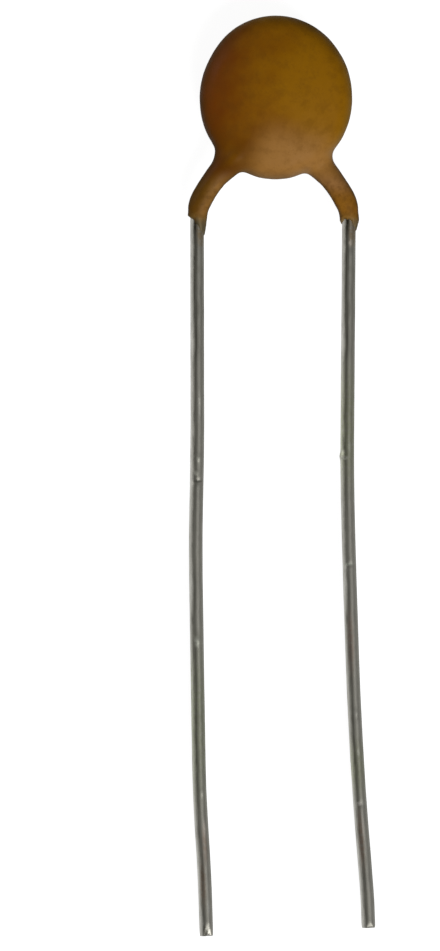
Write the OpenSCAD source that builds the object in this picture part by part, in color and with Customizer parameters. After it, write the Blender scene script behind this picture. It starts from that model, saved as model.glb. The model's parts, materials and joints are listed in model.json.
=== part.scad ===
// Disc ceramic capacitor with two long crossed leads, coated by dipping.
// It lies flat on a surface: +Z is up through the two faces of the disc, and
// the leads run along -Y. The origin is the middle of the box it fills, on the
// surface it rests on. All sizes are millimetres.

/* [Coated body] */
// Width of the coated body, across the leads
body_w = 5.06; // [4.9:0.02:5.6]
// Height of the coated body, along the leads
body_h = 5.39; // [5.2:0.02:5.9]
// Thickness of the coated body at its middle
body_t = 2.2; // [2.1:0.05:2.6]
// Radius of the body's rounded rim, seen from the side
rim_r = 0.8; // [0.7:0.02:0.9]
// How far the body sits to the right of the line midway between the leads
body_off = 0.075; // [0:0.005:0.1]

/* [Ceramic element] */
// Diameter of the ceramic disc
disc_d = 4.3; // [4.2:0.05:4.4]
// Thickness of the ceramic disc
disc_t = 0.4; // [0.3:0.02:0.44]
// Diameter of each fired silver electrode
electrode_d = 3.8; // [3.6:0.05:4]
// Thickness of each fired silver electrode
electrode_t = 0.02; // [0.01:0.005:0.03]

/* [Leads] */
// Diameter of the lead wire
wire_d = 0.45; // [0.4:0.01:0.5]
// Distance between the two leads where they leave the coating
lead_pitch = 5; // [4.9:0.02:5.1]
// Angle between each lead's slanted run and the body's height
slant = 41.5; // [40:0.5:43]
// Inside-the-coating bend that turns the slanted run straight down
knee_r = 2; // [1.6:0.1:2.2]
// Depth below the body's middle where the slanted and straight runs would meet
knee_v = 3.37; // [3.3:0.01:3.45]
// Bend radius of the offset that brings each lead back to the mid-plane
offset_r = 0.5; // [0.4:0.05:0.6]

/* [Solder] */
// Half width of the solder mound that holds each lead on its electrode
solder_r = 0.55; // [0.45:0.01:0.6]
// Length of the solder mound
solder_l = 2; // [1.8:0.05:2.1]
// Thickness of solder between a lead and its electrode
solder_gap = 0.02; // [0.01:0.005:0.03]

/* [Hidden] */
$fn = 48;

wire_r = wire_d / 2;
half_t = body_t / 2;
electrode_z = disc_t / 2 + electrode_t;
// height of a lead's axis over the mid-plane while it lies on the disc
lead_z = electrode_z + solder_gap + wire_r;
half_pitch = lead_pitch / 2;

// The body's faces are shallow domes that run into the rim without an edge.
rim_c = body_w / 2 - rim_r;
face_r = (rim_c * rim_c + half_t * half_t - rim_r * rim_r) / (2 * (half_t - rim_r));
face_c = face_r - half_t;
meet_a = atan2(rim_c, face_c);
stretch = (body_h - body_w) / 2;

// Unit vectors of the slanted run, in the disc's plane
run_x = sin(slant);
run_y = -cos(slant);
// a point of the slanted run at distance s down from the knee, at height z
function run(s, z) = [half_pitch + s * run_x, -knee_v + s * run_y, z];
inner_s = -4.22;  // where each lead's cut end lies, past the crossing
lift_s = -1.9;    // where a lead starts back to the mid-plane, past the disc's rim
flat_s = -1.18;   // where it arrives there

// Routes of the two leads, from the cut end on the electrode to the free tip.
// The long runs are slightly bowed by hand, as a loose part's leads are.
right_route = concat(
    [run(inner_s, lead_z), run(lift_s, lead_z), run(flat_s, 0), [half_pitch, -knee_v, 0]],
    [for (p = [[-0.063, -12.4], [0.006, -15.2], [0.16, -19.8], [0.33, -22.8],
               [0.62, -26.4], [0.65, -27.35]]) [half_pitch + p[0], p[1], 0]]);
left_route = concat(
    [run(inner_s, lead_z), run(lift_s, lead_z), run(flat_s, 0), [half_pitch, -knee_v, 0]],
    [for (p = [[-0.013, -11.6], [0.056, -14.7], [-0.07, -22.8], [-0.243, -25.6],
               [-0.309, -27.55]]) [half_pitch + p[0], p[1], 0]]);
tip_v = 27.55;
// how far the balls that close the wire's joints stand clear of the wire
joint_lap = 0.0005;

// How the part lies: on the dome of its back face and the ends of its leads.
lean_0 = asin((half_t - wire_r) / tip_v);
lift = face_r - face_c * cos(lean_0) + stretch * sin(lean_0);
lean = asin((lift - wire_r) / tip_v);
mid_x = 0.29;
mid_y = (body_h / 2 - tip_v) / 2;

function unit(v) = v / norm(v);
function turn(a, b, c) = acos(min(1, unit(b - a) * unit(c - b)));

module lay() {
    translate([-mid_x, -mid_y, lift]) rotate([lean, 0, 0]) children();
}

// Places children with their X, Y and Z along three unit vectors
module on_axes(o, x, y, z) {
    multmatrix([[x[0], y[0], z[0], o[0]], [x[1], y[1], z[1], o[1]],
                [x[2], y[2], z[2], o[2]], [0, 0, 0, 1]]) children();
}

// Places children at a point with their Z along a direction that isn't straight up
module along(p, z) {
    x = unit(cross([0, 0.3, 1], z));
    on_axes(p, x, cross(z, x), z) children();
}

module straight(p, q, r) { along(p, unit(q - p)) cylinder(h = norm(q - p), r = r); }

// A ball that closes the joint between two runs, its seam turned away from theirs
module joint_ball(p, d, r) { along(p, d) rotate(35) sphere(r + joint_lap); }

// Wire along a route: true arcs at the sharp bends, and for the slight ones
// two straight runs that meet in a ball of the wire's own size.
module wire(route, radii, r) {
    n = len(route);
    cut = [for (i = [0:n - 1]) i == 0 || i == n - 1 || radii[i] == 0 ? 0
           : radii[i] * tan(turn(route[i - 1], route[i], route[i + 1]) / 2)];
    for (i = [0:n - 2]) {
        d = unit(route[i + 1] - route[i]);
        straight(route[i] + d * cut[i], route[i + 1] - d * cut[i + 1], r);
    }
    for (i = [1:n - 2]) {
        a = unit(route[i] - route[i - 1]);
        b = unit(route[i + 1] - route[i]);
        if (radii[i] > 0) {
            axis = unit(cross(a, b));
            toward = cross(axis, a);
            start = route[i] - a * cut[i];
            on_axes(start + toward * radii[i], -toward, a, axis)
                rotate_extrude(angle = turn(route[i - 1], route[i], route[i + 1]))
                    translate([radii[i], 0]) circle(r);
            joint_ball(start, a, r);
            joint_ball(route[i] + b * cut[i], b, r);
        } else joint_ball(route[i], unit(a + b), r);
    }
}

module lead(route) {
    wire(route, concat([0, offset_r, offset_r, knee_r], [for (i = [4:len(route) - 1]) 0]),
         wire_r);
}

// The right lead is soldered to the back face, the left lead to the front face.
module right_wire() { mirror([0, 0, 1]) lead(right_route); }
module left_wire() { mirror([1, 0, 0]) lead(left_route); }

// Solder: half a spindle that lies on the electrode along the lead, less the lead
module mound() {
    n = 12;
    profile = [for (i = [0:n]) let (t = -cos(180 * i / n))
               [solder_r * sqrt(max(0, 1 - pow(abs(t), 2.4))), solder_l / 2 * t]];
    z = [run_x, run_y, 0];
    s = inner_s - 0.35 + solder_l / 2;
    intersection() {
        on_axes(run(s, electrode_z), cross([0, 0, 1], z), [0, 0, 1], z)
            rotate_extrude() polygon(profile);
        translate([-4, -4, electrode_z]) cube([8, 8, 2]);
    }
}

module right_mound() { mirror([0, 0, 1]) mound(); }
module left_mound() { mirror([1, 0, 0]) mound(); }

module disc_shape() { translate([body_off, 0, -disc_t / 2]) cylinder(h = disc_t, d = disc_d); }
module electrode_shape() { translate([body_off, 0, disc_t / 2]) cylinder(h = electrode_t, d = electrode_d); }

// Half section of the body: a dome arc from the middle, then the rim arc
function body_section() = concat(
    [for (i = [0:8]) let (a = meet_a * i / 8) [face_r * sin(a), face_r * cos(a) - face_c]],
    [for (i = [1:8]) let (a = meet_a + (90 - meet_a) * i / 8)
        [rim_c + rim_r * sin(a), rim_r * cos(a)]]);

module body_shape() {
    top = body_section();
    below = [for (i = [len(top) - 2:-1:0]) [top[i][0], -top[i][1]]];
    half = concat(top, below);
    full = concat(half, [for (i = [len(half) - 2:-1:1]) [-half[i][0], half[i][1]]]);
    translate([body_off, 0, 0]) {
        translate([0, stretch, 0]) rotate_extrude(angle = 180) polygon(half);
        translate([0, -stretch, 0]) rotate([0, 0, 180]) rotate_extrude(angle = 180) polygon(half);
        translate([0, stretch, 0]) rotate([90, 0, 0]) linear_extrude(2 * stretch) polygon(full);
    }
}

// The coating that follows a lead out of the body: [x, y, z, half width, half depth]
// from the middle of the body, thick at the root and thinning to a film at the end
leg_rings = [
    [0.75, -1.39, 0.45, 0.34, 0.30], [1.15, -1.84, 0.44, 0.42, 0.34],
    [1.35, -2.07, 0.37, 0.44, 0.40], [1.55, -2.30, 0.24, 0.41, 0.44],
    [1.72, -2.49, 0.12, 0.375, 0.43], [1.89, -2.68, 0.04, 0.36, 0.39],
    [2.04, -2.87, 0, 0.36, 0.36], [2.18, -3.07, 0, 0.36, 0.36],
    [2.30, -3.28, 0, 0.36, 0.36], [2.39, -3.48, 0, 0.355, 0.355],
    [2.45, -3.67, 0, 0.345, 0.345], [2.48, -3.865, 0, 0.325, 0.325],
    [2.495, -4.06, 0, 0.295, 0.295], [2.50, -4.26, 0, 0.262, 0.262],
    [2.50, -4.47, 0, 0.244, 0.244]];

module leg_shape() {
    sides = 24;
    n = len(leg_rings);
    function way(i) = unit([leg_rings[min(i + 1, n - 1)][0] - leg_rings[max(i - 1, 0)][0],
                            leg_rings[min(i + 1, n - 1)][1] - leg_rings[max(i - 1, 0)][1]]);
    points = [for (i = [0:n - 1], k = [0:sides - 1]) let (p = leg_rings[i], w = way(i),
              a = 360 * k / sides)
              [p[0] * half_pitch / 2.5 - w[1] * p[3] * cos(a), p[1] + w[0] * p[3] * cos(a),
               p[2] + p[4] * sin(a)]];
    walls = [for (i = [0:n - 2], k = [0:sides - 1]) let (m = (k + 1) % sides)
             each [[i * sides + k, (i + 1) * sides + m, i * sides + m],
                   [i * sides + k, (i + 1) * sides + k, (i + 1) * sides + m]]];
    ends = [[for (k = [0:sides - 1]) k], [for (k = [sides - 1:-1:0]) (n - 1) * sides + k]];
    polyhedron(points = points, faces = concat(walls, ends));
}

// Resin that gathers where a leg leaves the body's edge
module neck_fill() { translate([1.45, -1.98, 0.15]) sphere(0.54); }

// Outside of the coating: the domed body and the two legs that follow the leads
module dip_shape() {
    body_shape();
    mirror([0, 0, 1]) { leg_shape(); neck_fill(); }
    mirror([1, 0, 0]) { leg_shape(); neck_fill(); }
}

// The coating is the dip less each piece sealed inside it, taken out one by one
module around_disc() { difference() { dip_shape(); disc_shape(); } }
module around_front() { difference() { around_disc(); electrode_shape(); } }
module around_back() { difference() { around_front(); mirror([0, 0, 1]) electrode_shape(); } }
module around_left_mound() { difference() { around_back(); left_mound(); } }
module around_right_mound() { difference() { around_left_mound(); right_mound(); } }
module around_left_wire() { difference() { around_right_mound(); left_wire(); } }

module coating() {
    color("sienna") lay() difference() { around_left_wire(); right_wire(); }
}

module dielectric_disc() { color("tan") lay() disc_shape(); }
module front_electrode() { color("silver") lay() electrode_shape(); }
module back_electrode() { color("silver") lay() mirror([0, 0, 1]) electrode_shape(); }
module front_solder() { color("lightgray") lay() difference() { left_mound(); left_wire(); } }
module back_solder() { color("lightgray") lay() difference() { right_mound(); right_wire(); } }
module left_lead() { color("gray") lay() left_wire(); }
module right_lead() { color("gray") lay() right_wire(); }

coating();
dielectric_disc();
front_electrode();
back_electrode();
front_solder();
back_solder();
left_lead();
right_lead();
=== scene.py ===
import json
import math

import bmesh
import bpy
from mathutils import Matrix, Vector, noise


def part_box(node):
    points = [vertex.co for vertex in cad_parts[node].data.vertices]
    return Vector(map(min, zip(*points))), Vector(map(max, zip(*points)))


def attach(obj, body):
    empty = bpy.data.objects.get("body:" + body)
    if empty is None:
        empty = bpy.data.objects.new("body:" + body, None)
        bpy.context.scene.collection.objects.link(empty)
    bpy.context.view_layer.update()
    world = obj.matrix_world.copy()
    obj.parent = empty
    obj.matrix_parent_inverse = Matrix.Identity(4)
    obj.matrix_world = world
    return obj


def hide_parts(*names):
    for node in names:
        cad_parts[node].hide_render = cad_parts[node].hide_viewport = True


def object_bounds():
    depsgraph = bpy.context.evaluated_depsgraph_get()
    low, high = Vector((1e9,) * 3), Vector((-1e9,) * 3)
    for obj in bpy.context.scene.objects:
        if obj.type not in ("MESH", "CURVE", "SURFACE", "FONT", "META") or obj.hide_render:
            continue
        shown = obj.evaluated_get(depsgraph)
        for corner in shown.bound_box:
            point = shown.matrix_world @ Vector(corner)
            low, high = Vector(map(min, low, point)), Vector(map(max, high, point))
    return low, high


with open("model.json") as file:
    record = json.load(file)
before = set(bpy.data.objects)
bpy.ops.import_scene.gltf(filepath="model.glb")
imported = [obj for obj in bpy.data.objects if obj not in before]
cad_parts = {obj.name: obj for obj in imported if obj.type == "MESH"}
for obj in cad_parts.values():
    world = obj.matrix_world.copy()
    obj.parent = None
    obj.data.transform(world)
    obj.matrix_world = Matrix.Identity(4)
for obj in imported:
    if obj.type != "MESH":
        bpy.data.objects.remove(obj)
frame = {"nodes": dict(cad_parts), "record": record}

cad_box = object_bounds()

# ---------------------------------------------------------------- viewpoint
# The part lies flat, so the camera looks straight down on it from well above,
# through a long lens. The part fills the height and stands right of centre.
MM = 0.001
scene = bpy.context.scene
middle_of_box = (cad_box[0] + cad_box[1]) / 2
view_tall = 31.28 * MM
view_left = 2.03 * MM
camera_up = 300 * MM
cam_data = bpy.data.cameras.new("overhead_camera")
cam_data.sensor_width = 36
cam_data.lens = cam_data.sensor_width * camera_up / view_tall
cam_data.clip_start = 0.01
cam_data.clip_end = 5
camera = bpy.data.objects.new("overhead_camera", cam_data)
camera.location = (middle_of_box.x - view_left, middle_of_box.y, MM + camera_up)
scene.collection.objects.link(camera)
scene.camera = camera
scene.view_settings.view_transform = "Standard"


# ---------------------------------------------------------------- ceramic disc
# A disc of barium titanate, pressed from powder and fired hard. It is the
# dielectric, and everything else is built up round it.
def tone(red, green, blue):
    """A colour given as a paint chart gives it, turned to the shader's scale."""
    def linear(part):
        part = part / 255
        return part / 12.92 if part <= 0.04045 else ((part + 0.055) / 1.055) ** 2.4
    return (linear(red), linear(green), linear(blue), 1)


class Nodes:
    """A shader tree in the making. Each node is fed as it is added."""

    def __init__(self, tree):
        self.tree = tree

    def node(self, kind, feeds=None, **settings):
        made = self.tree.nodes.new("ShaderNode" + kind)
        for setting, value in settings.items():
            setattr(made, setting, value)
        for socket, value in (feeds or {}).items():
            if isinstance(value, bpy.types.NodeSocket):
                self.tree.links.new(value, made.inputs[socket])
            else:
                made.inputs[socket].default_value = value
        return made

    def steps(self, value, low, high, at_low=0, at_high=1):
        """A soft step: at_low where the value is low, at_high where it is high."""
        feeds = {0: value, 1: low, 2: high, 3: at_low, 4: at_high}
        return self.node("MapRange", feeds, interpolation_type="SMOOTHSTEP").outputs[0]

    def maths(self, how, a, b):
        return self.node("Math", {0: a, 1: b}, operation=how).outputs[0]

    def blend(self, share, first, second, how="MIX"):
        feeds = {0: share, 6: first, 7: second}
        return self.node("Mix", feeds, data_type="RGBA", blend_type=how).outputs[2]


def node_group(name, takes, gives):
    """A node group with named sockets: its nodes, what comes in, and what goes out."""
    tree = bpy.data.node_groups.new(name, "ShaderNodeTree")
    for sockets, in_out in ((takes, "INPUT"), (gives, "OUTPUT")):
        for socket, kind in sockets.items():
            tree.interface.new_socket(name=socket, in_out=in_out, socket_type="NodeSocket" + kind)
    came_in = tree.nodes.new("NodeGroupInput").outputs
    goes_out = tree.nodes.new("NodeGroupOutput").inputs
    return Nodes(tree), came_in, goes_out


# Grain: fractal noise of so many cells a metre, from about 0.3 to 0.7, and a share
# that steps softly from one value to another as the noise goes from low to high
grain, taken, given = node_group(
    "grain", {"Coordinates": "Vector", "Cells": "Vector", "Detail": "Float", "Crispness": "Float",
              "Low": "Float", "High": "Float", "At Low": "Float", "At High": "Float"},
    {"Grain": "Float", "Share": "Float"})
grain_place = grain.node("Mapping", {"Vector": taken["Coordinates"], "Scale": taken["Cells"]}).outputs[0]
grain_noise = grain.node("TexNoise", {"Vector": grain_place, "Scale": 1, "Detail": taken["Detail"],
                                      "Roughness": taken["Crispness"]}).outputs["Fac"]
grain.tree.links.new(grain_noise, given["Grain"])
grain_share = grain.steps(grain_noise, taken["Low"], taken["High"], taken["At Low"], taken["At High"])
grain.tree.links.new(grain_share, given["Share"])


class Finish(Nodes):
    """A material in the making: a Principled shader and the nodes that feed it."""

    def __init__(self, name, **plain):
        self.material = bpy.data.materials.new(name)
        self.material.use_nodes = True
        super().__init__(self.material.node_tree)
        self.shader = self.tree.nodes["Principled BSDF"]
        self.place = self.node("TexCoord").outputs["Object"]
        for socket, value in plain.items():
            self.shader.inputs[socket.replace("_", " ")].default_value = value

    def grained(self, cells, low, high, at_low=0, at_high=1, detail=3, crisp=0.5, on=None):
        """The grain group, on the piece's own coordinates or on those given."""
        cells = cells if isinstance(cells, tuple) else (cells, cells, cells)
        feeds = {"Coordinates": on or self.place, "Cells": cells, "Detail": detail, "Crispness": crisp,
                 "Low": low, "High": high, "At Low": at_low, "At High": at_high}
        return self.node("Group", feeds, node_tree=grain.tree).outputs

    def bumps(self, height, depth, strength, under=None):
        feeds = {"Height": height, "Distance": depth, "Strength": strength}
        if under:
            feeds["Normal"] = under
        return self.node("Bump", feeds).outputs["Normal"]

    def feed(self, socket, value):
        self.tree.links.new(value, self.shader.inputs[socket])


def fired_ceramic():
    """Matt buff ceramic with a pressed powder grain and a few darker specks."""
    made = Finish("fired_titanate", Roughness=0.75)
    coarse = made.grained(900, 0.3, 0.7, detail=4, crisp=0.6)
    fine = made.grained(9000, 0.55, 0.75, 0, 0.4, detail=2)
    base = made.blend(coarse["Share"], tone(196, 172, 132), tone(214, 196, 160))
    made.feed("Base Color", made.blend(fine["Share"], base, tone(160, 138, 104)))
    made.feed("Normal", made.bumps(fine["Grain"], 0.004 * MM, 0.6))
    return made.material


def refinish(name, material):
    """Gives a carried-over node its own material."""
    slots = frame["nodes"][name].data.materials
    slots.clear()
    slots.append(material)


refinish("dielectric_disc", fired_ceramic())


# ---------------------------------------------------------------- electrodes
# A disc of silver paste, screened on each face of the ceramic and fired, so it
# is a thin, slightly rough skin of metal that solder takes to.
def soft_metal(name, light, dark, lumps, rough):
    """A white metal, clouded, with a fine uneven surface."""
    made = Finish(name, Metallic=1.0)
    coarse = made.grained(lumps, 0.3, 0.7, crisp=0.6)
    fine = made.grained(lumps * 9, 0.3, 0.7, rough, rough + 0.18, detail=2)
    made.feed("Base Color", made.blend(coarse["Share"], dark, light))
    made.feed("Roughness", fine["Share"])
    made.feed("Normal", made.bumps(fine["Grain"], 0.003 * MM, 0.6))
    return made.material


fired_silver = soft_metal("fired_silver_paste", tone(222, 220, 214), tone(188, 184, 176), 2500, 0.4)
refinish("front_electrode", fired_silver)
refinish("back_electrode", fired_silver)


# ---------------------------------------------------------------- leads
# Two lengths of tinned copper-clad wire. Each is formed before soldering: the
# cut end crosses the disc on the slant, steps back to its mid-plane below the
# rim, and a soft knee turns it straight down. The long runs bow a little.

# The disc's middle lies this many millimetres right of midway between the leads
body_off = 0.075
disc_lo, disc_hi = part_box("dielectric_disc")
pins = {pin["name"]: pin for pin in frame["record"]["mounts"]}
tip_axis = Vector(pins["left_lead_tip"]["axis"])
lean = math.atan2(-tip_axis.z, -tip_axis.y)
upright_origin = (disc_lo + disc_hi) / 2 - Vector((body_off * MM, 0, 0))
laid = Matrix.Translation(upright_origin) @ Matrix.Rotation(lean, 4, "X") @ Matrix.Scale(MM, 4)


def finished(name, bm, material):
    """Turns a mesh made upright, in millimetres, about the disc's middle into an
    object that lies where the part lies."""
    bmesh.ops.transform(bm, matrix=laid, verts=bm.verts)
    mesh = bpy.data.meshes.new(name)
    bm.to_mesh(mesh)
    bm.free()
    mesh.shade_smooth()
    mesh.materials.append(material)
    piece = bpy.data.objects.new(name, mesh)
    scene.collection.objects.link(piece)
    return piece


# From here on a shape is drawn upright in millimetres: x across the part from midway
# between the leads, v up from the disc's middle, and z out of its front face
wire_r = pins["left_lead_tip"]["dims"]["r_mm"]
half_pitch = 2.5
slant = math.radians(41.5)
knee_r = 2.0
knee_v = 3.37
step_r = 0.5
lead_z = 0.465
# Up the slant from the knee to the mid-plane's end, to the step's, and to the cut end
run_to_plane = 1.18
run_to_step = 1.9
run_to_cut = 4.22
wire_sides = 36
wire_step = 0.06
bend_share = 0.45
skin_depth = 0.003


def run(up, z):
    """A point of the slanted run, so far up from the knee, at depth z."""
    return Vector((half_pitch - up * math.sin(slant), -knee_v + up * math.cos(slant), z))


slanted = [run(run_to_cut, lead_z), run(run_to_step, lead_z), run(run_to_plane, 0), run(0, 0)]
# How far outwards of straight each long run stands, at each height down to its tip
bows = {
    "left": [(-0.013, -11.6), (0.056, -14.7), (-0.07, -22.8), (-0.243, -25.6), (-0.309, -27.62)],
    "right": [(-0.063, -12.4), (0.006, -15.2), (0.16, -19.8), (0.33, -22.8), (0.62, -26.4),
              (0.65, -27.35)],
}


def rounded(route, radii):
    """Close points along a route with rounded corners. A corner with no radius
    gets the longest soft bend that the runs beside it have room for."""
    points = [route[0]]
    for before, corner, after, radius in zip(route, route[1:], route[2:], radii[1:]):
        cut = radius * math.tan((corner - before).angle(after - corner) / 2)
        cut = cut or bend_share * min((corner - before).length, (after - corner).length)
        start = corner + (before - corner).normalized() * cut
        end = corner + (after - corner).normalized() * cut
        bend_steps = max(8, round(2 * cut / wire_step))
        for k in range(bend_steps + 1):
            t = k / bend_steps
            points.append(start.lerp(corner, t).lerp(corner.lerp(end, t), t))
    points.append(route[-1])
    close = [points[0]]
    for a, b in zip(points, points[1:]):
        count = max(1, round((b - a).length / wire_step))
        close += [a.lerp(b, k / count) for k in range(1, count + 1)]
    return close


def around(angle, degrees):
    """How far an angle round a wire is from a place given in degrees, in radians."""
    return (angle - math.radians(degrees) + math.pi) % (2 * math.pi) - math.pi


# Dents and burrs: height along the part, degrees round the wire, length, spread, depth
marks = {
    "left": [(-10.1, 80, 0.30, 0.4, -0.008), (-11.85, 80, 0.10, 0.5, 0.016),
             (-12.35, 110, 0.10, 0.5, 0.014), (-12.62, 90, 0.08, 0.7, -0.022),
             (-17.85, 95, 0.13, 0.5, 0.020), (-22.9, 70, 0.12, 0.4, 0.010)],
    "right": [(-4.9, 70, 0.16, 0.7, -0.016), (-11.80, 172, 0.10, 0.45, 0.036),
              (-11.60, 120, 0.12, 0.5, -0.020), (-15.35, 100, 0.06, 0.9, -0.014),
              (-20.25, 80, 0.10, 0.4, 0.010), (-23.25, 95, 0.08, 0.6, -0.016)],
}
# What the cutters leave: bevel depth, degrees round the wire, spread, length, squeeze
tips = {"left": (0.62, 66, 0.62, 0.45, 0.04), "right": (0.26, 70, 0.50, 0.18, 0.05)}


def wire_radius(side, v, angle, to_go):
    """The wire's own radius in millimetres at one place: faint drawing lines and a
    lumpy tin skin, then the marks it has picked up, then its cut tip."""
    x, y = math.cos(angle), math.sin(angle)
    seed = 9 if side == "right" else 0
    r = wire_r + skin_depth * noise.noise(Vector((x * 5, y * 5, v * 0.05 + seed)))
    r += skin_depth * noise.noise(Vector((x * 2.2, y * 2.2, v * 0.9 + seed)))
    for at_v, at, long, wide, deep in marks[side]:
        r += deep * math.exp(-((v - at_v) / long) ** 2 - (around(angle, at) / wide) ** 2)
    bevel, at, wide, long, squeeze = tips[side]
    near = max(0, 1 - to_go / long)
    cut = bevel * near ** 1.5 * math.exp(-(around(angle, at) / wide) ** 2)
    return r * (1 - squeeze * near ** 3 - cut)


def swept(bm, stations, sides):
    """A tube with closed ends: one ring is extruded from station to station. Each
    station is a function that places a point of the unit ring, given its angle.
    The angle of every point is handed back."""
    ring = bmesh.ops.create_circle(bm, cap_ends=True, radius=1, segments=sides)["verts"]
    edges = list(dict.fromkeys(edge for vert in ring for edge in vert.link_edges))
    rings = [ring]
    for _ in stations[1:]:
        grown = bmesh.ops.extrude_edge_only(bm, edges=edges)["geom"]
        ring = [part for part in grown if isinstance(part, bmesh.types.BMVert)]
        new = set(ring)
        edges = [part for part in grown if isinstance(part, bmesh.types.BMEdge)]
        edges = [edge for edge in edges if set(edge.verts) <= new]
        rings.append(ring)
    bmesh.ops.contextual_create(bm, geom=edges)
    angles = {vert: math.atan2(vert.co.y, vert.co.x) for ring in rings for vert in ring}
    for ring, place in zip(rings, stations):
        for vert in ring:
            vert.co = place(angles[vert])
    return angles


def wire_line(side):
    """The middle line of one lead. The left one lies on the front face of the disc,
    the right one on the back."""
    hand = 1 if side == "right" else -1
    route = slanted + [Vector((half_pitch + x, v, 0)) for x, v in bows[side]]
    route = [Vector((p.x * hand, p.y, -p.z * hand)) for p in route]
    return rounded(route, [0, step_r, step_r, knee_r] + [0] * len(bows[side]))


def wrap_round(bm, angles):
    """Maps the faces that lie round a wire: the turn from its underside, and the
    height in millimetres."""
    wrap = bm.loops.layers.uv.new("wire")
    for face in bm.faces:
        if not all(vert in angles for vert in face.verts):
            continue
        turns = [(math.degrees(angles[corner.vert]) + 90) % 360 / 360 for corner in face.loops]
        over_seam = max(turns) - min(turns) > 0.5
        for corner, turn in zip(face.loops, turns):
            corner[wrap].uv = (turn + 1 if over_seam and turn < 0.5 else turn, corner.vert.co.y)


def wire_mesh(side):
    """One lead, swept along its middle line."""
    line = wire_line(side)
    stations = []
    for i, p in enumerate(line):
        ahead = (line[min(i + 1, len(line) - 1)] - line[max(i - 1, 0)]).normalized()
        up = (Vector((0, 0, 1)) - ahead * ahead.z).normalized()
        out = up.cross(ahead)
        if out.x < 0:
            out = -out

        def place(angle, p=p, up=up, out=out):
            r = wire_radius(side, p.y, angle, (line[-1] - p).length)
            return p + (out * math.cos(angle) + up * math.sin(angle)) * r
        stations.append(place)
    bm = bmesh.new()
    wrap_round(bm, swept(bm, stations, wire_sides))
    bmesh.ops.recalc_face_normals(bm, faces=bm.faces)
    if bm.calc_volume(signed=True) < 0:
        bmesh.ops.reverse_faces(bm, faces=bm.faces)
    return bm


# The colour of dull tin by its turn round the wire, with painted reflections: a painted pale
# reflection of the table down one flank and a painted dark reflection along the top. Streaks lighten it
# and lumps darken it.
tin, taken, given = node_group(
    "tin_and_painted_light", {"Turn": "Float", "Streaks": "Float", "Lumps": "Float"}, {"Color": "Color"})
tin_painted_reflection_bands = tin.node("ValToRGB", {0: taken["Turn"]})
tin_painted_reflection_ramp = tin_painted_reflection_bands.color_ramp
tin_painted_reflection_ramp.interpolation = "B_SPLINE"
# Greys by turn round the wire: painted reflections, pale down one flank and dark along the top
tin_painted_reflection_stops = [(0.0, 120), (0.26, 150), (0.33, 142), (0.39, 136), (0.45, 146), (0.49, 124),
             (0.525, 76), (0.555, 62), (0.58, 92), (0.62, 196), (0.67, 252), (0.78, 252), (1.0, 120)]
while len(tin_painted_reflection_ramp.elements) < len(tin_painted_reflection_stops):
    tin_painted_reflection_ramp.elements.new(0.5)
for element, (turn, grey) in zip(tin_painted_reflection_ramp.elements, tin_painted_reflection_stops):
    element.position = turn
    element.color = tone(grey, grey - 2, grey - 11)
tin_colour = tin.blend(taken["Streaks"], tin_painted_reflection_bands.outputs[0], tone(150, 148, 138))
tin_colour = tin.blend(taken["Lumps"], tin_colour, tone(84, 82, 72))
tin.tree.links.new(tin_colour, given["Color"])

# A mark: a soft-edged oval patch, its middle and its reach in the map's own units
mark, taken, given = node_group(
    "mark", {"Wrap": "Vector", "Middle": "Vector", "Reach": "Vector"}, {"Share": "Float"})
mark_off = mark.node("VectorMath", {0: taken["Wrap"], 1: taken["Middle"]}, operation="SUBTRACT")
mark_off = mark.node("VectorMath", {0: mark_off.outputs[0], 1: taken["Reach"]}, operation="DIVIDE")
mark_off = mark.node("VectorMath", {0: mark_off.outputs[0]}, operation="LENGTH").outputs["Value"]
mark.tree.links.new(mark.steps(mark_off, 1.0, 0.2, 0, 1), given["Share"])

# Stain marks and painted shadows tint the tin and scuffs cover it. Each has its turn round the wire, its
# height, how far it reaches in each, its colour, and the most it does
stains_and_painted_shade = {
    "left": [
        (0.40, -4.30, 0.20, 0.85, tone(236, 206, 160), 0.9),
        # A painted shadow where the resin ends, darkening the tin
        (0.55, -4.15, 0.05, 0.45, tone(120, 104, 50), 0.9),
        (0.50, -20.6, 0.60, 3.60, tone(238, 246, 226), 0.9),
        (0.54, -25.9, 0.10, 1.10, tone(246, 222, 208), 0.9),
        (0.45, -24.6, 0.10, 0.90, tone(246, 226, 218), 0.9),
    ],
    "right": [
        (0.40, -4.40, 0.20, 0.70, tone(236, 210, 176), 0.9),
        # A painted shadow where the resin ends, darkening the tin
        (0.53, -4.10, 0.06, 0.50, tone(120, 104, 50), 0.9),
        (0.50, -10.8, 0.60, 3.00, tone(240, 246, 224), 0.9),
        (0.53, -17.9, 0.12, 1.60, tone(248, 226, 220), 0.9),
        (0.50, -22.0, 0.50, 1.30, tone(240, 246, 226), 0.9),
        (0.54, -24.4, 0.10, 1.50, tone(248, 224, 214), 0.9),
    ],
}
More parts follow.
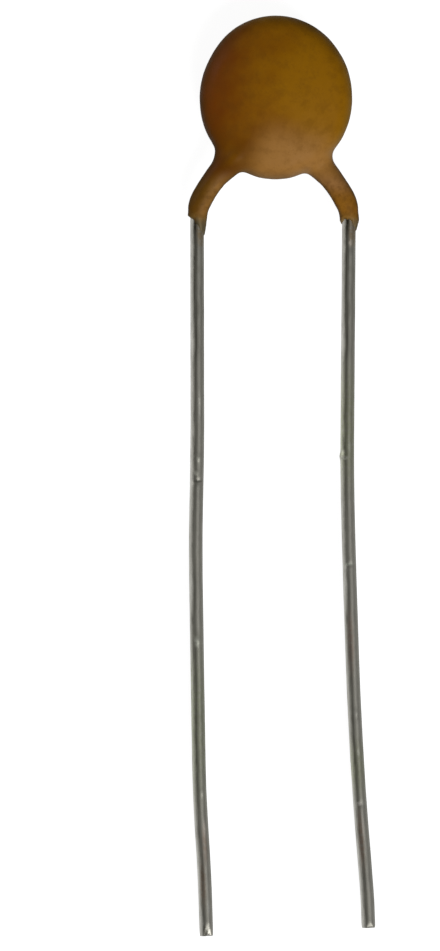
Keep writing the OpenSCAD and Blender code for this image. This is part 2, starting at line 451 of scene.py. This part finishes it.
scuffs = {
    "left": [
        (0.45, -10.15, 0.04, 0.65, tone(196, 194, 184), 0.7),
        (0.47, -11.85, 0.07, 0.20, tone(176, 176, 164), 0.7),
        (0.52, -12.35, 0.10, 0.12, tone(166, 166, 154), 0.6),
        (0.47, -12.62, 0.16, 0.07, tone(56, 54, 46), 0.7),
        (0.50, -17.90, 0.10, 0.26, tone(170, 172, 160), 0.7),
        (0.44, -22.90, 0.05, 0.20, tone(180, 178, 168), 0.6),
        (0.43, -24.05, 0.04, 0.45, tone(190, 182, 172), 0.7),
        (0.42, -26.65, 0.05, 0.35, tone(176, 176, 170), 0.6),
        (0.54, -27.45, 0.07, 0.30, tone(46, 44, 34), 0.8),
    ],
    "right": [
        (0.46, -4.78, 0.07, 0.15, tone(160, 152, 140), 0.7),
        (0.57, -11.85, 0.12, 0.10, tone(176, 176, 164), 0.8),
        (0.45, -11.50, 0.05, 0.30, tone(160, 162, 150), 0.5),
        (0.52, -15.35, 0.20, 0.08, tone(168, 172, 158), 0.7),
        (0.48, -20.25, 0.06, 0.15, tone(172, 170, 162), 0.6),
        (0.46, -21.55, 0.05, 0.20, tone(180, 180, 168), 0.6),
        (0.52, -23.25, 0.12, 0.10, tone(184, 180, 172), 0.7),
        (0.47, -24.00, 0.04, 0.60, tone(170, 164, 156), 0.6),
    ],
}


def tinned_wire(side):
    """Dull tin with painted reflections round it, faint streaks from the drawing die, less tarnished
    lower down, and the stain marks, painted shadows and scuffs of its own lead. The first stain is crept
    resin, the second a painted shadow where the resin ends."""
    made = Finish(side + "_tin_and_painted_light", Metallic=0.6, IOR=1.5)
    wrap = made.node("UVMap", uv_map="wire").outputs["UV"]
    wander = made.grained((0.01, 0.42, 1), 0.2, 0.8, -0.03, 0.03, detail=2, on=wrap)
    streaks = made.grained((40, 0.30, 1), 0.35, 0.65, 0, 0.3, detail=2, on=wrap)
    lumps = made.grained((9, 1.5, 1), 0.45, 0.7, 0, 0.35, on=wrap)
    turn, level, _ = made.node("SeparateXYZ", {0: wrap}).outputs
    turn = made.maths("ADD", turn, wander["Share"])
    turn = made.maths("ADD", turn, made.steps(lumps["Grain"], 0.2, 0.8, -0.015, 0.015))
    feeds = {"Turn": turn, "Streaks": streaks["Share"], "Lumps": lumps["Share"]}
    base = made.node("Group", feeds, node_tree=tin.tree).outputs["Color"]
    base = made.blend(made.steps(level, -12, -5, 0.15, 0), base, tone(190, 188, 178), "LIGHTEN")
    ragged = made.grained((14, 9, 1), 0.3, 0.6, 0.35, 1.0, on=wrap)["Share"]
    for how, patches in (("MULTIPLY", stains_and_painted_shade), ("MIX", scuffs)):
        for at, height, wide, long, colour, most in patches[side]:
            feeds = {"Wrap": wrap, "Middle": (at, height, 0), "Reach": (wide, long, 1)}
            share = made.node("Group", feeds, node_tree=mark.tree).outputs["Share"]
            share = made.maths("MULTIPLY", made.maths("MULTIPLY", share, ragged), most)
            base = made.blend(share, base, colour, how)
    made.feed("Base Color", base)
    made.feed("Roughness", made.steps(lumps["Grain"], 0.3, 0.7, 0.34, 0.52))
    made.feed("Normal", made.bumps(streaks["Grain"], 0.003 * MM, 0.2))
    return made.material


for side in ("left", "right"):
    lead = finished(side + "_lead_wire", wire_mesh(side), tinned_wire(side))
    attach(lead, "root")
    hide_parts(side + "_lead")


# ---------------------------------------------------------------- solder
# A mound of tin-lead solder holds each lead on its electrode. It was melted
# there in one touch, so it is smooth and bright.
solder = soft_metal("tin_lead_solder", tone(196, 196, 196), tone(150, 150, 152), 1400, 0.22)
refinish("front_solder", solder)
refinish("back_solder", solder)


# ---------------------------------------------------------------- resin coating
# The assembly is dipped in phenolic resin and baked. The resin draws into a
# lens round the disc, runs down both leads, and thins to a ragged film there.
body_w = 5.06
body_h = 5.39
half_t = 1.1
rim_r = 0.8
rim_c = body_w / 2 - rim_r
face_r = (rim_c ** 2 + half_t ** 2 - rim_r ** 2) / (2 * (half_t - rim_r))
arc_steps = 12
voxel = 0.036


def add_lens(bm):
    """The lens of resin round the disc: its half section spun, then stretched."""
    meet = math.atan2(rim_c, face_r - half_t)
    section = []
    for k in range(arc_steps + 1):
        turn = meet * k / arc_steps
        section.append(Vector((face_r * math.sin(turn), 0, face_r * math.cos(turn) - face_r + half_t)))
    for k in range(1, arc_steps + 1):
        turn = meet + (math.pi / 2 - meet) * k / arc_steps
        section.append(Vector((rim_c + rim_r * math.sin(turn), 0, rim_r * math.cos(turn))))
    section += [Vector((p.x, 0, -p.z)) for p in reversed(section[:-1])]
    verts = [bm.verts.new(p) for p in section]
    edges = [bm.edges.new(pair) for pair in zip(verts, verts[1:])]
    bmesh.ops.spin(bm, geom=verts + edges, cent=(0, 0, 0), axis=(0, 0, 1), angle=2 * math.pi,
                   steps=128, use_merge=True)
    bmesh.ops.remove_doubles(bm, verts=bm.verts, dist=0.001)
    place = Matrix.Translation((body_off, 0, 0)) @ Matrix.Diagonal((1, body_h / body_w, 1, 1))
    bmesh.ops.transform(bm, matrix=place, verts=bm.verts)


# The sleeve of resin round a leg, ring by ring: the right leg's x and v, how far it
# lies to its own lead's side of the mid-plane, half its width and half its depth
leg_rings = [
    (0.72, -1.26, 0.36, 0.34, 0.28), (1.00, -1.62, 0.38, 0.46, 0.33),
    (1.24, -1.93, 0.35, 0.50, 0.37), (1.39, -2.10, 0.26, 0.50, 0.36),
    (1.57, -2.28, 0.13, 0.48, 0.38), (1.755, -2.475, 0.05, 0.42, 0.40),
    (1.92, -2.67, 0.02, 0.385, 0.385), (2.065, -2.87, 0, 0.375, 0.375),
    (2.20, -3.07, 0, 0.372, 0.372), (2.32, -3.28, 0, 0.372, 0.37),
    (2.41, -3.48, 0, 0.367, 0.365), (2.465, -3.67, 0, 0.352, 0.35),
    (2.49, -3.865, 0, 0.33, 0.33), (2.50, -4.06, 0, 0.30, 0.30),
    (2.50, -4.26, 0, 0.265, 0.265), (2.50, -4.47, 0, 0.245, 0.245),
    (2.50, -4.70, 0, 0.235, 0.235)]
leg_sides = 28


def add_leg(bm, hand):
    """The sleeve of resin that follows one lead out of the lens."""
    middles = [Vector((x * hand, v, -z * hand)) for x, v, z, _, _ in leg_rings]
    stations = []
    for i, (middle, (_, _, _, wide, deep)) in enumerate(zip(middles, leg_rings)):
        ahead = middles[min(i + 1, len(middles) - 1)] - middles[max(i - 1, 0)]
        across = Vector((-ahead.y, ahead.x, 0)).normalized()

        def place(angle, middle=middle, across=across, wide=wide, deep=deep):
            through = Vector((0, 0, deep * math.sin(angle)))
            return middle + across * (wide * math.cos(angle)) + through
        stations.append(place)
    swept(bm, stations, leg_sides)


neck_x = 1.40
neck_v = -1.95
neck_z = 0.10
neck_r = 0.56
neck_flat = 0.95


def add_neck(bm, hand):
    """Resin that gathers where a leg leaves the edge of the lens."""
    place = Matrix.Translation((neck_x * hand, neck_v, -neck_z * hand))
    place = place @ Matrix.Diagonal((1, 1, neck_flat, 1))
    bmesh.ops.create_uvsphere(bm, u_segments=32, v_segments=20, radius=neck_r, matrix=place)


def applied(piece, kind, **settings):
    """Adds one modifier and applies it to the mesh."""
    modifier = piece.modifiers.new(kind.title(), kind)
    for setting, value in settings.items():
        setattr(modifier, setting, value)
    depsgraph = bpy.context.evaluated_depsgraph_get()
    solid = bpy.data.meshes.new_from_object(piece.evaluated_get(depsgraph))
    piece.modifiers.clear()
    piece.data = solid


# Middle and reach of the patch at each neck that flows when it is smoothed
soft_x = 1.30
soft_reach = 1.05


def soft_near_necks(piece):
    """Marks how freely each point may flow when the necks are smoothed."""
    group = piece.vertex_groups.new(name="necks")
    for vert in piece.data.vertices:
        at = vert.co
        off = math.hypot(abs(at.x) - soft_x, at.y - neck_v, 0.4 * at.z) / soft_reach
        if off < 1:
            group.add([vert.index], (1 - off * off) ** 1.2, "REPLACE")


# Where the resin ends on each lead: degrees round the wire, height of the end,
# how fast it falls away there, and how thick it is above
film_ends = {
    "left": [(0, -4.55, 0.55, 0.10), (45, -4.42, 0.50, 0.09), (90, -4.20, 0.30, 0.08),
             (128, -4.00, 0.10, 0.08), (180, -3.93, 0.06, 0.10), (235, -4.05, 0.15, 0.09),
             (300, -4.35, 0.40, 0.09), (360, -4.55, 0.55, 0.10)],
    "right": [(0, -4.40, 0.40, 0.11), (50, -4.20, 0.25, 0.09), (80, -4.02, 0.10, 0.08),
              (125, -4.00, 0.08, 0.08), (155, -4.10, 0.10, 0.07), (185, -4.17, 0.12, 0.08),
              (270, -4.25, 0.30, 0.09), (360, -4.40, 0.40, 0.11)],
}
# The resin is drawn in to its true thickness below one height, over a short ease. A
# taper this long goes fully clear. Over bare wire the mesh sinks just under the tin,
# and the middle of each sleeve leans in a little, as the knee leaves it
film_from = -3.5
film_ease = 0.45
long_taper = 0.3
bare = -0.03
toe_in = 0.007


def film(side, degrees, v):
    """Thickness of the resin over the wire near its end, in millimetres, and how
    clear it is there. A long taper goes clear, and a blunt lip stays brown."""
    ends = film_ends[side]
    for low, high in zip(ends, ends[1:]):
        if low[0] <= degrees <= high[0]:
            t = (degrees - low[0]) / (high[0] - low[0])
            t = t * t * (3 - 2 * t)
            _, end, fall, thick = [a + (b - a) * t for a, b in zip(low, high)]
            break
    end += 0.03 * noise.noise(Vector((degrees / 14, 0, end)))
    near = max(0, min(1, (v - end) / fall))
    clear = (1 - near ** 2) * min(1, fall / long_taper)
    return (thick * near ** 0.7 if near > 0 else bare, clear)


def shape_ends(bm):
    """Draws the resin in to its true thickness on each lead, and notes how thin it
    is, so that the finish can show the metal through it."""
    thinness = bm.verts.layers.float.new("thin_film")
    knee_end = -knee_v - knee_r * math.tan(slant / 2)
    angles = {}
    for vert in bm.verts:
        at = vert.co
        if at.y > film_from:
            continue
        side = "right" if at.x > 0 else "left"
        hand = 1 if at.x > 0 else -1
        middle = half_pitch - toe_in * (-knee_v - at.y)
        if at.y > knee_end:
            middle = half_pitch - knee_r + math.sqrt(knee_r ** 2 - (at.y - knee_end) ** 2)
        off = Vector((at.x - middle * hand, 0, at.z))
        angles[vert] = math.atan2(off.z, off.x)
        thick, clear = film(side, math.degrees(angles[vert]) % 360, at.y)
        share = max(0, min(1, (film_from - at.y) / film_ease))
        share = share * share * (3 - 2 * share)
        now = off.length
        r = now + (wire_r + thick - now) * share
        vert.co = Vector((middle * hand, at.y, 0)) + off.normalized() * r
        vert[thinness] = share * clear
    wrap_round(bm, angles)


# The stretch where a lead steps down off the disc: its heights, how near and far
# across it lies, and how much further the resin beside it is looked at
step_top = -1.4
step_bottom = -2.7
step_near = 0.7
step_far = 2.2
step_margin = 0.1


def cover_wires(bm):
    """Keeps a skin of resin over the leads where they step down off the disc."""
    skin = wire_r + 0.055
    ease = 0.045
    for side, hand in (("left", -1), ("right", 1)):
        line = [p for p in wire_line(side) if step_bottom < p.y < step_top]
        for vert in bm.verts:
            at = vert.co
            level = step_bottom - step_margin < at.y < step_top + step_margin
            beside = step_near < at.x * hand < step_far and at.z * -hand > 0
            if not (level and beside):
                continue
            near = min(line, key=lambda p: (p - at).length_squared)
            gap = (at - near).length
            if gap < skin + 5 * ease:
                lifted = skin + ease * math.log(1 + math.exp((gap - skin) / ease))
                vert.co = near + (at - near) * (lifted / gap)


# Where the rim is drawn in: degrees round the lens, spread in degrees, and how far.
# The lens ends above the first foot, and the uneven skin above the second
shoulders = [(147, 22, -0.048), (180, 30, -0.028)]
lens_r = 2.5
lens_foot = -1.5
uneven_foot = -3.3
# How squarely a point faces front or back where the painted rim shade starts, and its ease
rim_start = 0.82
rim_ease = 0.6


def shape_lens(bm):
    """The dip is never quite round: one shoulder is drawn in a little, and the
    baked skin is faintly uneven all over. Each point that faces sideways is noted for the painted rim
    shade."""
    rim = bm.verts.layers.float.new("rim")
    for vert in bm.verts:
        at = vert.co
        out = Vector((at.x - body_off, at.y, 0))
        degrees = math.degrees(math.atan2(out.y, out.x)) % 360
        edge = max(0, min(1, out.length / lens_r)) ** 3
        drawn = sum(deep * math.exp(-((degrees - at_degrees) / wide) ** 2)
                    for at_degrees, wide, deep in shoulders)
        if at.y > lens_foot:
            vert.co += out.normalized() * drawn * edge
        wave = noise.noise(at * 1.1) * 0.010 + noise.noise(at * 3.5) * 0.004
        if at.y > uneven_foot:
            vert.co += vert.normal * wave
        # Weight of the painted rim shade, from how far the point faces sideways
        on_rim = max(0, min(1, (rim_start - abs(vert.normal.z)) / rim_ease))
        vert[rim] = on_rim * on_rim * (3 - 2 * on_rim)


def baked_resin():
    """Satin brown phenolic, mottled, redder and darker to one side and more gold and lighter to the
    other, partly its own tone and partly painted light, with a painted sheen at the foot of the lens and
    a painted olive shade at the rim. On the leads it thins to a film that shows the tin."""
    made = Finish("baked_phenolic", IOR=1.45, Specular_IOR_Level=0.08)
    split = made.node("SeparateXYZ", {0: made.place})
    across = split.outputs[0]
    below = made.maths("SUBTRACT", upright_origin.y, split.outputs[1])

    # The body's tone, darker red to lighter gold: partly its own tone and partly painted light from the
    # right, with painted shade lower down and a painted sheen over its foot
    cloud = made.grained(380, 0, 1, -2 * MM, 2 * MM, detail=4, crisp=0.6)["Share"]
    drift = made.maths("ADD", across, cloud)
    drift = made.maths("SUBTRACT", drift, made.maths("MULTIPLY", below, 0.2))
    gold_and_light = made.steps(drift, -2.6 * MM, 1.4 * MM)
    # Painted shade: the red tone darker lower down
    lower = made.steps(below, 0.2 * MM, 2.2 * MM)
    reddish_and_shade = made.blend(lower, tone(107, 54, 1), tone(92, 50, 1))
    base = made.blend(gold_and_light, reddish_and_shade, tone(145, 97, 4))
    # Painted sheen: a pale, greyish patch of light over the foot of the lens
    slope = made.maths("SUBTRACT", below, made.maths("MULTIPLY", across, 0.25))
    flank = made.maths("ADD", across, made.maths("MULTIPLY", below, 0.4))
    painted_sheen = made.maths("MULTIPLY", made.steps(slope, 0.5 * MM, 1.8 * MM),
                      made.steps(flank, -0.7 * MM, 0.5 * MM))
    base = made.blend(made.maths("MULTIPLY", painted_sheen, 0.85), base, tone(162, 115, 56))

    # The legs, with painted light: a painted highlight down the left one's inner flank and the right one
    # painted lighter than the left, both olive at their ends
    legs = made.steps(below, 2.3 * MM, 3.0 * MM)
    # Painted light: a paler band down the left leg's inner flank, and the right leg painted lighter
    inward = made.maths("ADD", made.maths("MULTIPLY", across, 0.9),
                        made.maths("MULTIPLY", below, 0.43))
    left_leg_tone_and_light = made.blend(made.steps(inward, -1.05 * MM, -0.62 * MM),
                           tone(98, 64, 8), tone(144, 102, 48))
    right_leg_tone_and_light = made.blend(made.steps(below, 2.7 * MM, 3.4 * MM),
                            tone(152, 108, 62), tone(142, 94, 26))
    leg_tone = made.blend(made.steps(across, -1 * MM, 1 * MM), left_leg_tone_and_light, right_leg_tone_and_light)
    leg_end = made.steps(below, 3.7 * MM, 4.1 * MM, 0, 0.5)
    leg_tone = made.blend(leg_end, leg_tone, tone(122, 104, 58))
    base = made.blend(legs, base, leg_tone)

    # Mottling all over, specks in it, and darker blotches on the legs
    mottle = made.grained(2600, 0.42, 0.7, 0, 0.25, detail=4, crisp=0.65)
    speck = made.grained(14000, 0.6, 0.75, 0, 0.14, detail=2)
    blotch = made.grained(6500, 0.42, 0.66, 0, 0.3)
    base = made.blend(mottle["Share"], base, tone(92, 56, 4))
    base = made.blend(speck["Share"], base, tone(70, 46, 4))
    base = made.blend(made.maths("MULTIPLY", legs, blotch["Share"]), base, tone(84, 52, 6))

    # A painted shade at the rim where it turns away, darker and more olive than the faces, carrying the
    # faces' painted light and sheen
    rim_painted_shade = made.blend(gold_and_light, tone(56, 44, 6), tone(112, 88, 30))
    rim_painted_shade = made.blend(painted_sheen, rim_painted_shade, tone(136, 110, 80))
    rim_painted_shade = made.blend(legs, rim_painted_shade, tone(70, 52, 14))
    rim = made.node("Attribute", attribute_name="rim").outputs["Fac"]
    base = made.blend(made.maths("MULTIPLY", rim, 0.65), base, rim_painted_shade)

    # The film on the leads, with brown-tinted tin under it that carries the tin's painted reflections
    wrap = made.node("UVMap", uv_map="wire").outputs["UV"]
    turn = made.node("SeparateXYZ", {0: wrap}).outputs[0]
    feeds = {"Turn": turn, "Streaks": 0, "Lumps": 0.1}
    under = made.node("Group", feeds, node_tree=tin.tree).outputs["Color"]
    under = made.blend(1, under, tone(184, 170, 140), "MULTIPLY")
    film_share = made.node("Attribute", attribute_name="thin_film").outputs["Fac"]
    film_patches = made.steps(mottle["Grain"], 0.3, 0.6, 0.75, 1.0)
    film_share = made.maths("MULTIPLY", film_share, film_patches)
    made.feed("Base Color", made.blend(film_share, base, under))
    made.feed("Metallic", made.maths("MULTIPLY", film_share, 0.5))

    made.feed("Roughness", made.steps(mottle["Grain"], 0.3, 0.7, 0.48, 0.62))
    waves = made.grained(1500, 0, 1, detail=2)["Grain"]
    peel = made.bumps(waves, 0.015 * MM, 0.25)
    made.feed("Normal", made.bumps(speck["Grain"], 0.003 * MM, 0.5, peel))
    return made.material


smoothing = 0.5
bm = bmesh.new()
add_lens(bm)
for hand in (-1, 1):
    add_leg(bm, hand)
    add_neck(bm, hand)
bmesh.ops.recalc_face_normals(bm, faces=bm.faces)
dip_mesh = bpy.data.meshes.new("wet_resin")
bm.to_mesh(dip_mesh)
bm.free()
dip = bpy.data.objects.new("wet_resin", dip_mesh)
scene.collection.objects.link(dip)
applied(dip, "REMESH", mode="VOXEL", voxel_size=voxel)
applied(dip, "SMOOTH", factor=smoothing, iterations=16)
soft_near_necks(dip)
applied(dip, "SMOOTH", factor=smoothing, iterations=320, vertex_group="necks")
bm = bmesh.new()
bm.from_mesh(dip.data)
bpy.data.objects.remove(dip)
shape_ends(bm)
cover_wires(bm)
bm.normal_update()
shape_lens(bm)
coating = finished("dipped_resin", bm, baked_resin())
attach(coating, "root")
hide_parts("coating")


# ---------------------------------------------------------------- table and light
# A plain white table, which looks brighter to the camera than the light it gives
# back to the part, and two soft square lamps: the key beyond the lead tips to the
# right, and a low fill from the left of the body.
table_mesh = bpy.data.meshes.new("white_table")
bm = bmesh.new()
bmesh.ops.create_grid(bm, x_segments=1, y_segments=1, size=2)
bm.to_mesh(table_mesh)
bm.free()
table = bpy.data.objects.new("white_table", table_mesh)
scene.collection.objects.link(table)
paper = bpy.data.materials.new("white_paper")
paper.use_nodes = True
tree = paper.node_tree
tree.nodes.clear()
path = tree.nodes.new("ShaderNodeLightPath")
out = tree.nodes.new("ShaderNodeOutputMaterial")


def glow(strength):
    made = tree.nodes.new("ShaderNodeEmission")
    made.inputs["Strength"].default_value = strength
    return made.outputs[0]


def matt(grey):
    made = tree.nodes.new("ShaderNodeBsdfDiffuse")
    made.inputs["Color"].default_value = (grey, grey, grey, 1)
    return made.outputs[0]


def joined(kind, *feeds):
    made = tree.nodes.new("ShaderNode" + kind)
    for socket, feed in zip(made.inputs, feeds):
        tree.links.new(feed, socket)
    return made.outputs[0]


unseen = joined("MixShader", path.outputs["Is Glossy Ray"], matt(0.14), glow(0.6))
seen = joined("AddShader", matt(0.3), glow(0.9))
surface = joined("MixShader", path.outputs["Is Camera Ray"], unseen, seen)
tree.links.new(surface, out.inputs["Surface"])
table_mesh.materials.append(paper)

world = bpy.data.worlds.new("studio")
scene.world = world
world.use_nodes = True
air = world.node_tree
dim = air.nodes["Background"]
dim.inputs["Color"].default_value = (1, 1, 1, 1)
dim.inputs["Strength"].default_value = 0.13
pale = air.nodes.new("ShaderNodeBackground")
pale.inputs["Color"].default_value = (0.93, 0.93, 0.93, 1)
sight = air.nodes.new("ShaderNodeLightPath")
wall = air.nodes.new("ShaderNodeMixShader")
air.links.new(sight.outputs["Is Camera Ray"], wall.inputs[0])
air.links.new(dim.outputs[0], wall.inputs[1])
air.links.new(pale.outputs[0], wall.inputs[2])
air.links.new(wall.outputs[0], air.nodes["World Output"].inputs["Surface"])


def lamp(name, direction, distance, size, power):
    """A square soft lamp that faces the part, in the given direction from it."""
    data = bpy.data.lights.new(name, "AREA")
    data.size = size
    data.energy = power
    made = bpy.data.objects.new(name, data)
    towards = Vector(direction).normalized()
    made.location = middle_of_box + towards * distance
    made.rotation_euler = towards.to_track_quat("Z", "Y").to_euler()
    scene.collection.objects.link(made)


lamp_far = 0.5
lamp_size = 0.3
lamp("key_lamp", (0.5, -0.8, 0.9), lamp_far, lamp_size, 2.15)
lamp("fill_lamp", (-0.9, 0.45, 0.38), lamp_far, lamp_size, 0.95)
